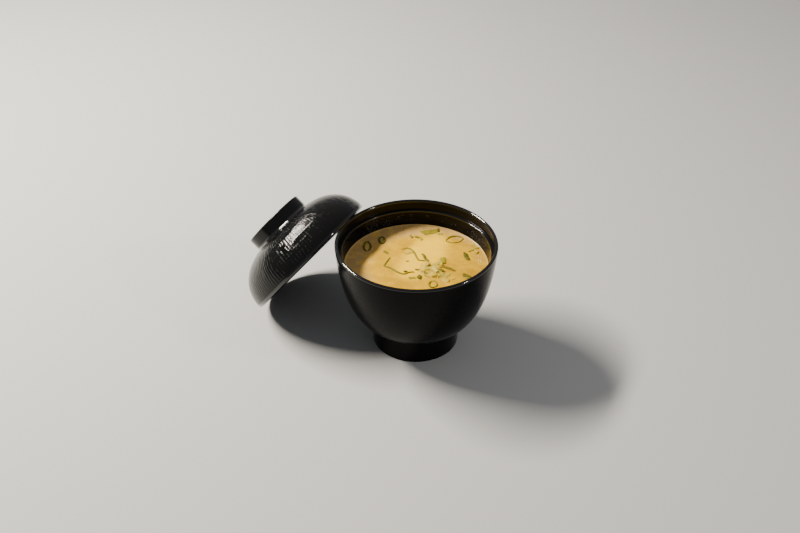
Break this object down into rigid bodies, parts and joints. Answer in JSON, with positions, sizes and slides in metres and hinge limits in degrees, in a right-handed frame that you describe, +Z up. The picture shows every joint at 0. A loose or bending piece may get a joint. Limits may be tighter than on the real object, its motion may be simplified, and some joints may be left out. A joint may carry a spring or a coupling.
{
  "type": "miso soup",
  "caption": "Miso soup with sliced green onion in a deep black footed bowl, its domed lid leaning on the rim; stands on a table.",
  "frame": {"origin": "middle of the footprint's bounding box, on the surface the bowl and the lid stand on", "axes": "+Z up; +X from the leaning lid towards the bowl, so that y = 0 is the mirror plane of bowl and lid"},
  "size_m": [0.1752, 0.105, 0.0842],
  "materials": {
    "black_lacquer": "black lacquer with a fine cloth grain, satin gloss",
    "miso_broth": "cloudy pale yellow broth with a wet surface",
    "green_onion": "wet cooked green onion",
    "pale_leek": "wet translucent white leek"
  },
  "bodies": {
    "root": {"bowl": "black_lacquer", "lid": "black_lacquer", "soup": "miso_broth", "ring_right": "green_onion", "ring_left": "green_onion", "ring_back": "green_onion", "ring_front": "green_onion", "leaf_right": "green_onion", "leaf_back": "green_onion", "leek_heap": "pale_leek"}
  },
  "joints": []
}
